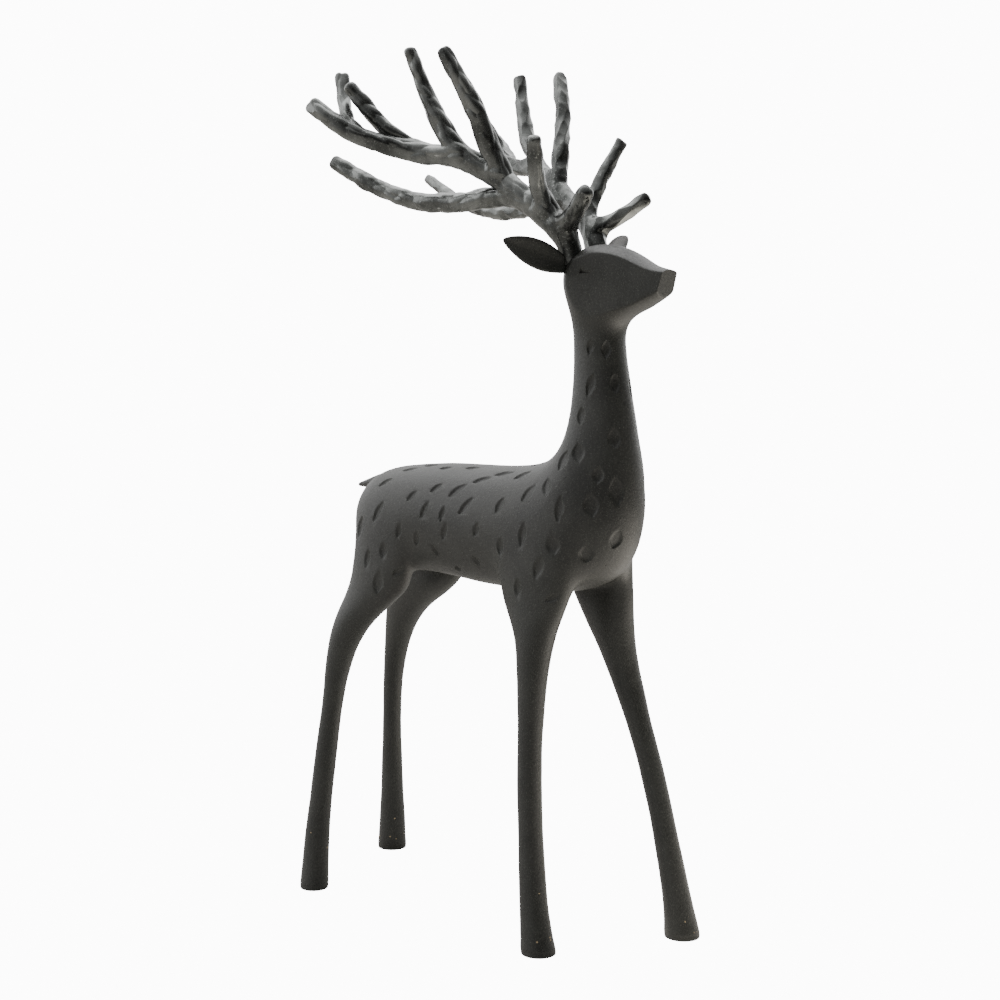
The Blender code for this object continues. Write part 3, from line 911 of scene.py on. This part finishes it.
    def turned(self, heading: Vector) -> Vector:
        """A direction, leaned and put on this antler's side."""
        leaned = Matrix.Rotation(math.radians(-self.side.value * self.lean), 3, "X") @ heading
        return Vector((self.side.value * leaned.x, leaned.y, leaned.z))

    def carried(self, place: Vector) -> Vector:
        """A place, leaned and put on this antler's side."""
        foot = BEAM[1]
        leaned = foot + Matrix.Rotation(math.radians(-self.side.value * self.lean), 3, "X") @ (place - foot)
        return Vector((self.side.value * leaned.x, leaned.y, leaned.z))

    def seeds(self, skin: Skin, rng: np.random.Generator) -> tuple[np.ndarray, np.ndarray]:
        """Spread the facets over the surface, a set distance apart.

        Args:
            skin: the antler's surface.
            rng: the seeded source of chance.

        Returns:
            The vertex number and the lengthwise direction of each facet.
        """
        line = kdtree.KDTree(len(self.line))
        for k, (centre, _) in enumerate(self.line):
            line.insert(centre, k)
        line.balance()
        kept, seats = np.empty((0, 3)), []
        for k in rng.permutation(skin.count)[:self.facet_tries]:
            place = skin.at[k]
            if len(kept) and np.min(np.sum((kept - place) ** 2, axis=1)) < self.facet_apart ** 2:
                continue
            kept = np.vstack((kept, place))
            seats.append(k)
        along = np.empty((len(seats), 3))
        for row, k in enumerate(seats):
            direction = np.array(self.line[line.find(Vector(skin.at[k]))[1]][1])
            normal = skin.normal[k]
            direction = direction - normal * (direction @ normal)
            turn = rng.uniform(-self.facet_turn, self.facet_turn)
            along[row] = unit(direction + np.cross(normal, direction) * turn)
        return np.array(seats), along

    def hammer(self, skin: Skin) -> None:
        """Cut the surface all over with long shallow facets that meet in ridges.

        Args:
            skin: the antler's surface.
        """
        rng = np.random.default_rng(40 + self.side.value)
        seats, along = self.seeds(skin, rng)
        count = len(seats)
        place, normal = skin.at[seats], skin.normal[seats]
        across = np.cross(normal, along)
        depth = rng.uniform(*self.facet_depth, count)
        length = rng.uniform(*self.facet_length, count)
        width = rng.uniform(*self.facet_width, count)
        tree = kdtree.KDTree(count)
        for row, seat in enumerate(place):
            tree.insert(seat, row)
        tree.balance()
        nearest = np.array([[row for _, row, _ in tree.find_n(Vector(here), self.facets_near)]
                            for here in skin.at])
        off = skin.at[:, None, :] - place[nearest]
        u = np.einsum("nkc,nkc->nk", off, along[nearest]) / length[nearest]
        v = np.einsum("nkc,nkc->nk", off, across[nearest]) / width[nearest]
        w = np.einsum("nkc,nkc->nk", off, normal[nearest]) / self.facet_round
        cuts = depth[nearest] * (1 - u ** 2 - v ** 2 - w ** 2)
        cuts = np.where(np.einsum("nkc,nc->nk", normal[nearest], skin.normal) > 0.2, cuts, -1.0)
        ordered = np.sort(cuts, axis=1)
        dish = np.maximum(self.crest * np.log(np.sum(np.exp(cuts / self.crest), axis=1)), -0.2)
        crest = 1 - np.clip((ordered[:, -1] - ordered[:, -2]) / 0.5, 0, 1)
        lumps = skin.noise(15, 2, 5.0 + self.side.value) * self.lump
        fine = skin.noise(3.5, 1, 9.0) * self.fine
        foot = np.clip((skin.at[:, 2] - 398) / 8, 0.3, 1)
        depth = np.maximum(dish * 0.95 + lumps + fine, -self.most_out)
        skin.at -= skin.normal * (depth * foot)[:, None]
        x = np.abs(skin.at[:, 0])
        skin.at[:, 0] = np.sign(skin.at[:, 0]) * soft_min(x, np.full(skin.count, self.widest), 0.5)
        skin.keep("ridge", crest)

    def build(self, figure: Figure) -> bpy.types.Object:
        """Make the antler and seat it on the head with a fine seam.

        Args:
            figure: the figure that it stands on.

        Returns:
            The antler.
        """
        made = self.cage()
        skin = Skin(made)
        self.hammer(skin)
        skin.write()
        thin(made, self.most_faces)
        combine(made, figure.cage_body("seat", 2, with_legs=False, grow=self.seam), "DIFFERENCE")
        combine(made, Ear(self.side, levels=2, thick=self.ear_room).build(), "DIFFERENCE")
        shade(made, 42)
        return made


class NodeWeb:
    """A small helper that adds and joins shader nodes."""

    def __init__(self, tree: bpy.types.NodeTree) -> None:
        """Work in one node tree."""
        self.tree = tree
        self.count = 0

    def add(self, kind: str, inputs: dict | None = None, **settings: object) -> bpy.types.Node:
        """Add a node.

        Args:
            kind: the node's type.
            inputs: values or sockets for its inputs, by name or number.
            settings: the node's own properties.

        Returns:
            The node.
        """
        node = self.tree.nodes.new(kind)
        node.location = (220 * (self.count % 8), -260 * (self.count // 8))
        self.count += 1
        for name, value in settings.items():
            setattr(node, name, value)
        for key, value in (inputs or {}).items():
            if isinstance(value, bpy.types.NodeSocket):
                self.tree.links.new(value, node.inputs[key])
            else:
                node.inputs[key].default_value = value
        return node

    def math(self, operation: str, first: object, second: object = 0.0, clamp: bool = False
             ) -> bpy.types.NodeSocket:
        """One sum; returns its value."""
        node = self.add("ShaderNodeMath", {0: first, 1: second}, operation=operation, use_clamp=clamp)
        return node.outputs[0]

    def ramp(self, value: object, low: float, high: float, to_low: float = 0.0, to_high: float = 1.0
             ) -> bpy.types.NodeSocket:
        """Map a range smoothly to another."""
        node = self.add("ShaderNodeMapRange", {0: value, 1: low, 2: high, 3: to_low, 4: to_high},
                        interpolation_type="SMOOTHSTEP")
        return node.outputs[0]

    def mix(self, share: object, first: object, second: object) -> bpy.types.NodeSocket:
        """Mix two colours.

        Args:
            share: how much of the second there is.
            first: the one colour or socket.
            second: the other.

        Returns:
            The mixed colour.
        """
        node = self.add("ShaderNodeMix", data_type="RGBA")
        for key, value in ((0, share), (6, first), (7, second)):
            if isinstance(value, bpy.types.NodeSocket):
                self.tree.links.new(value, node.inputs[key])
            else:
                node.inputs[key].default_value = value
        return node.outputs[2]


def new_group(name: str, inputs: dict[str, float], outputs: tuple[str, ...]
              ) -> tuple[bpy.types.NodeTree, NodeWeb, bpy.types.Node, bpy.types.Node]:
    """Start a shader node group.

    Args:
        name: the group's name.
        inputs: number inputs with their usual values.
        outputs: names of its outputs, all values.

    Returns:
        The group, a helper for it, its input node and its output node.
    """
    tree = bpy.data.node_groups.new(name, "ShaderNodeTree")
    for label, value in inputs.items():
        socket = tree.interface.new_socket(label, in_out="INPUT", socket_type="NodeSocketFloat")
        socket.default_value = value
    for label in outputs:
        tree.interface.new_socket(label, in_out="OUTPUT", socket_type="NodeSocketFloat")
    web = NodeWeb(tree)
    return tree, web, web.add("NodeGroupInput"), web.add("NodeGroupOutput")


def sand_grain() -> bpy.types.NodeTree:
    """The fine sand grain of an iron casting: speckle, cloudiness and height."""
    tree, web, given, out = new_group("sand_grain", {"Grain": 1500.0, "Cloud size": 40.0},
                                      ("Speckle", "Cloud", "Height"))
    place = web.add("ShaderNodeTexCoord").outputs["Object"]
    half = web.math("MULTIPLY", given.outputs["Grain"], 0.42)
    fine, wide, middle = [
        web.add("ShaderNodeTexNoise", {"Vector": place, "Scale": scale, "Detail": detail, "Roughness": rough})
        for scale, detail, rough in ((given.outputs["Grain"], 2.0, 0.6), (given.outputs["Cloud size"], 4.0, 0.55),
                                     (half, 3.0, 0.65))]
    speckle = web.ramp(fine.outputs[0], 0.56, 0.74)
    web.tree.links.new(speckle, out.inputs["Speckle"])
    web.tree.links.new(wide.outputs[0], out.inputs["Cloud"])
    web.tree.links.new(web.math("ADD", fine.outputs[0], middle.outputs[0]), out.inputs["Height"])
    return tree


def pinholes() -> bpy.types.NodeTree:
    """Scattered pinholes left by gas in the mould: the mask that the finishes dent in the bump and darken as
    painted shade.
    """
    tree, web, given, out = new_group("pinholes", {"Spacing": 260.0, "Share": 0.06}, ("Mask",))
    place = web.add("ShaderNodeTexCoord").outputs["Object"]
    cells = web.add("ShaderNodeTexVoronoi", {"Vector": place, "Scale": given.outputs["Spacing"]}, feature="F1")
    spot = web.ramp(cells.outputs["Distance"], 0.07, 0.14, 1.0, 0.0)
    parts = web.add("ShaderNodeSeparateColor", {0: cells.outputs["Color"]})
    chosen = web.math("LESS_THAN", parts.outputs[0], given.outputs["Share"])
    web.tree.links.new(web.math("MULTIPLY", spot, chosen), out.inputs["Mask"])
    return tree


def worn_edges() -> bpy.types.NodeTree:
    """Edges rubbed bare, broken up by noise."""
    tree, web, given, out = new_group("worn_edges", {"Least": 0.53, "Most": 0.6, "Patch size": 220.0},
                                      ("Mask",))
    place = web.add("ShaderNodeTexCoord").outputs["Object"]
    shape = web.add("ShaderNodeNewGeometry")
    edge = web.add("ShaderNodeMapRange", {0: shape.outputs["Pointiness"], 1: given.outputs["Least"],
                                          2: given.outputs["Most"]}, clamp=True)
    patch = web.add("ShaderNodeTexNoise", {"Vector": place, "Scale": given.outputs["Patch size"], "Detail": 3.0})
    web.tree.links.new(web.math("MULTIPLY", edge.outputs[0], web.ramp(patch.outputs[0], 0.4, 0.62)),
                       out.inputs["Mask"])
    return tree


@dataclass(frozen=True)
class IronFinish:
    """A darkened cast iron finish."""

    name: str
    dark: tuple[float, float, float, float]
    light: tuple[float, float, float, float]
    metallic: float
    roughness: float
    rougher: float
    grain: float
    relief: float
    worn: tuple[float, float, float, float]
    worn_share: float
    ridge: str
    speckle: float
    chips: bool = False
    # Painted shade: the near-black colour that stands for the shade inside each pinhole
    hole_shade: tuple[float, float, float, float] = (0.004, 0.004, 0.004, 1.0)
    chip: tuple[float, float, float, float] = (0.42, 0.33, 0.2, 1.0)
    bump_height: float = 0.0003

    def build(self, groups: dict[str, bpy.types.NodeTree]) -> bpy.types.Material:
        """Make the material.

        Args:
            groups: the shared effects by name.

        Returns:
            The material.
        """
        material = bpy.data.materials.new(self.name)
        material.use_nodes = True
        web = NodeWeb(material.node_tree)
        shader = material.node_tree.nodes["Principled BSDF"]
        grain = web.add("ShaderNodeGroup", node_tree=groups["grain"])
        grain.inputs["Grain"].default_value = self.grain
        holes = web.add("ShaderNodeGroup", node_tree=groups["holes"])
        worn = web.add("ShaderNodeGroup", node_tree=groups["worn"])
        tone = web.mix(web.ramp(grain.outputs["Cloud"], 0.35, 0.65), self.dark, self.light)
        speck = tuple(min(1.0, c * self.speckle) for c in self.light[:3]) + (1.0,)
        tone = web.mix(web.math("MULTIPLY", grain.outputs["Speckle"], 0.7), tone, speck)
        rubbed = web.math("MULTIPLY", worn.outputs["Mask"], self.worn_share, clamp=True)
        tone = web.mix(rubbed, tone, self.worn)
        # Painted shade: pinhole spots are mixed towards near black for the shade inside them; their dent comes from
        # the bump below
        tone = web.mix(web.math("MULTIPLY", holes.outputs["Mask"], 0.85), tone, self.hole_shade)
        if self.chips:
            tone = self.chipped(web, tone)
        web.tree.links.new(tone, shader.inputs["Base Color"])
        mark = web.add("ShaderNodeAttribute", attribute_name=self.ridge)
        rough = web.math("ADD", web.math("MULTIPLY", grain.outputs["Cloud"], self.rougher), self.roughness)
        rough = web.math("SUBTRACT", rough, web.math("MULTIPLY", mark.outputs["Fac"], 0.05))
        rough = web.math("SUBTRACT", rough, web.math("MULTIPLY", rubbed, 0.12))
        web.tree.links.new(rough, shader.inputs["Roughness"])
        shader.inputs["Metallic"].default_value = self.metallic
        shader.inputs["Specular IOR Level"].default_value = 0.5
        height = web.math("SUBTRACT", grain.outputs["Height"], web.math("MULTIPLY", holes.outputs["Mask"], 4.0))
        bump = web.add("ShaderNodeBump", {"Height": height, "Strength": self.relief,
                                             "Distance": self.bump_height})
        web.tree.links.new(bump.outputs[0], shader.inputs["Normal"])
        return material

    def chipped(self, web: NodeWeb, tone: bpy.types.NodeSocket) -> bpy.types.NodeSocket:
        """Tan chips scattered over the lowest part of the legs.

        Args:
            web: the material's nodes.
            tone: the colour under them.

        Returns:
            The colour with the chips.
        """
        place = web.add("ShaderNodeTexCoord").outputs["Object"]
        parts = web.add("ShaderNodeSeparateXYZ", {0: place})
        low = web.ramp(parts.outputs[2], 0.004, 0.05, 1.0, 0.0)
        cells = web.add("ShaderNodeTexVoronoi", {"Vector": place, "Scale": 330.0}, feature="F1")
        tint = web.add("ShaderNodeSeparateColor", {0: cells.outputs["Color"]})
        spot = web.ramp(cells.outputs["Distance"], 0.12, 0.24, 1.0, 0.0)
        chosen = web.math("LESS_THAN", tint.outputs[1], web.math("MULTIPLY", low, 0.16))
        return web.mix(web.math("MULTIPLY", spot, chosen), tone, self.chip)


BODY_FINISH = IronFinish(
    "dark_iron_finish", dark=(0.0185, 0.0195, 0.0174, 1), light=(0.0292, 0.0304, 0.0272, 1), metallic=0.0,
    roughness=0.38, rougher=0.16, grain=1500.0, relief=0.5, worn=(0.10, 0.10, 0.092, 1), worn_share=0.5,
    ridge="gouge", speckle=3.6, chips=True)
ANTLER_FINISH = IronFinish(
    "antler_iron_finish", dark=(0.062, 0.065, 0.062, 1), light=(0.2, 0.207, 0.2, 1), metallic=0.85,
    roughness=0.25, rougher=0.12, grain=900.0, relief=0.12, worn=(0.42, 0.43, 0.415, 1), worn_share=0.7,
    ridge="ridge", speckle=1.3)


@dataclass
class Studio:
    """A pale floor, soft lights and the camera."""

    floor_half: float = 6.0
    camera_at: tuple[float, float, float] = (-0.7432, -0.6963, 0.346)
    azimuth: float = -47.5
    pitch: float = -5.38
    lens: float = 61.2
    white: float = 12.0
    sky_base: float = 0.03
    sky_lobes: tuple[tuple[float, float, float, float, float], ...] = (
        (132.5, 5, 0.0, 0.8, 1.6), (-125, 12, 0.3, 0.95, 0.6), (70, 10, 0.7, 0.97, 0.2),
        (0, 90, 0.45, 0.92, 0.75))
    card_at: tuple[float, float, float] = (0.32, -0.42, 0.0)
    card_fade: tuple[float, float] = (0.1, 0.55)
    card_glow: tuple[float, float] = (2.9, 0.06)
    card_tint: tuple[float, float, float, float] = (1.0, 0.93, 0.82, 1.0)
    aim: tuple[float, float, float] = (0.0, 0.0, 0.26)
    lamp_distance: float = 1.6

    def floor(self) -> None:
        """A wide pale floor."""
        cage = Cage("floor")
        half = self.floor_half / MM
        corners = ((-half, -half, 0), (half, -half, 0), (half, half, 0), (-half, half, 0))
        cage.cap([cage.point(Vector(corner) - SHIFT) for corner in corners])
        made = cage.smooth(0)
        material = bpy.data.materials.new("pale_floor")
        material.use_nodes = True
        web = NodeWeb(material.node_tree)
        shader = material.node_tree.nodes["Principled BSDF"]
        place = web.add("ShaderNodeTexCoord").outputs["Object"]
        cloud = web.add("ShaderNodeTexNoise", {"Vector": place, "Scale": 3.0, "Detail": 2.0})
        tone = web.mix(cloud.outputs[0], (0.46, 0.44, 0.41, 1), (0.49, 0.47, 0.44, 1))
        web.tree.links.new(tone, shader.inputs["Base Color"])
        shader.inputs["Roughness"].default_value = 0.9
        shader.inputs["Specular IOR Level"].default_value = 0.1
        shader.inputs["Emission Color"].default_value = self.card_tint
        apart = web.add("ShaderNodeVectorMath", {0: place, 1: self.card_at}, operation="DISTANCE")
        glow = web.ramp(apart.outputs["Value"], *self.card_fade, *self.card_glow)
        web.tree.links.new(glow, shader.inputs["Emission Strength"])
        seen = web.add("ShaderNodeLightPath").outputs["Is Camera Ray"]
        bright = web.add("ShaderNodeEmission", {"Color": (1.0, 1.0, 1.0, 1.0), "Strength": self.white})
        both = web.add("ShaderNodeMixShader", {0: seen})
        web.tree.links.new(shader.outputs[0], both.inputs[1])
        web.tree.links.new(bright.outputs[0], both.inputs[2])
        web.tree.links.new(both.outputs[0], material.node_tree.nodes["Material Output"].inputs["Surface"])
        made.data.materials.append(material)

    @staticmethod
    def toward(turn: float, rise: float) -> Vector:
        """The direction at an azimuth, counted as the views are, and an elevation, in degrees."""
        a, e = math.radians(turn), math.radians(rise)
        return Vector((math.sin(a) * math.cos(e), -math.cos(a) * math.cos(e), math.sin(e)))

    def lamp(self, name: str, turn: float, rise: float, size: tuple[float, float], watts: float) -> None:
        """A soft panel that looks at the statue.

        Args:
            name: the lamp's name.
            turn: its azimuth in degrees.
            rise: its elevation in degrees.
            size: width and height of the panel in metres.
            watts: its power.
        """
        data = bpy.data.lights.new(name, "AREA")
        data.shape = "RECTANGLE"
        data.size, data.size_y = size
        data.energy = watts
        made = bpy.data.objects.new(name, data)
        bpy.context.scene.collection.objects.link(made)
        back = self.toward(turn, rise)
        made.location = Vector(self.aim) + back * self.lamp_distance
        made.rotation_euler = (-back).to_track_quat("-Z", "Y").to_euler()

    def sky(self) -> None:
        """A white surround that lights the statue least from in front."""
        world = bpy.data.worlds.new("surround")
        world.use_nodes = True
        web = NodeWeb(world.node_tree)
        place = web.add("ShaderNodeTexCoord").outputs["Generated"]
        strength: object = self.sky_base
        for turn, rise, low, high, gain in self.sky_lobes:
            facing = web.add("ShaderNodeVectorMath", {0: place, 1: self.toward(turn, rise)},
                             operation="DOT_PRODUCT")
            lobe = web.ramp(facing.outputs["Value"], low, high, 0.0, gain)
            strength = web.math("ADD", strength, lobe)
        seen = web.add("ShaderNodeLightPath").outputs["Is Camera Ray"]
        shown = web.add("ShaderNodeMix", {0: seen, 2: strength, 3: self.white}, data_type="FLOAT").outputs[0]
        back = world.node_tree.nodes["Background"]
        back.inputs[0].default_value = (1.0, 1.0, 1.0, 1.0)
        world.node_tree.links.new(shown, back.inputs[1])
        bpy.context.scene.world = world

    def lights(self) -> None:
        """Panels on both sides and overhead."""
        self.lamp("panel_left", -138, 30, (0.7, 1.4), 6)
        self.lamp("panel_right", 95, 25, (0.5, 1.4), 4)
        self.lamp("panel_top", 150, 68, (1.5, 1.5), 14)

    def camera(self) -> None:
        """The camera at the photograph's place."""
        data = bpy.data.cameras.new("camera")
        data.lens = self.lens
        data.sensor_width = 36.0
        data.clip_end = 50
        made = bpy.data.objects.new("camera", data)
        bpy.context.scene.collection.objects.link(made)
        made.location = self.camera_at
        made.rotation_euler = (math.radians(90 + self.pitch), 0, math.radians(self.azimuth))
        bpy.context.scene.camera = made


def dress(made: bpy.types.Object, node: str, material: bpy.types.Material) -> None:
    """Give a casting its finish, hang it under the root and hide the solid that it replaces.

    Args:
        made: the casting.
        node: the solid that it replaces.
        material: its finish.
    """
    made.data.materials.clear()
    made.data.materials.append(material)
    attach(made, "root")
    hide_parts(node)
    LOG.info("%s: %d triangles", made.name, sum(len(face.vertices) - 2 for face in made.data.polygons))


def main() -> None:
    """Build the castings, then the studio, and report each piece."""
    logging.basicConfig(level=logging.INFO, format="%(message)s")
    groups = {"grain": sand_grain(), "holes": pinholes(), "worn": worn_edges()}
    body = BODY_FINISH.build(groups)
    horn = ANTLER_FINISH.build(groups)
    figure = Figure()
    dress(figure.build(), "figure", body)
    for side in Side:
        dress(Antler(side).build(figure), "antler_" + side.name.lower(), horn)
    studio = Studio()
    studio.floor()
    studio.sky()
    studio.lights()
    studio.camera()


if __name__ == "__main__":
    main()
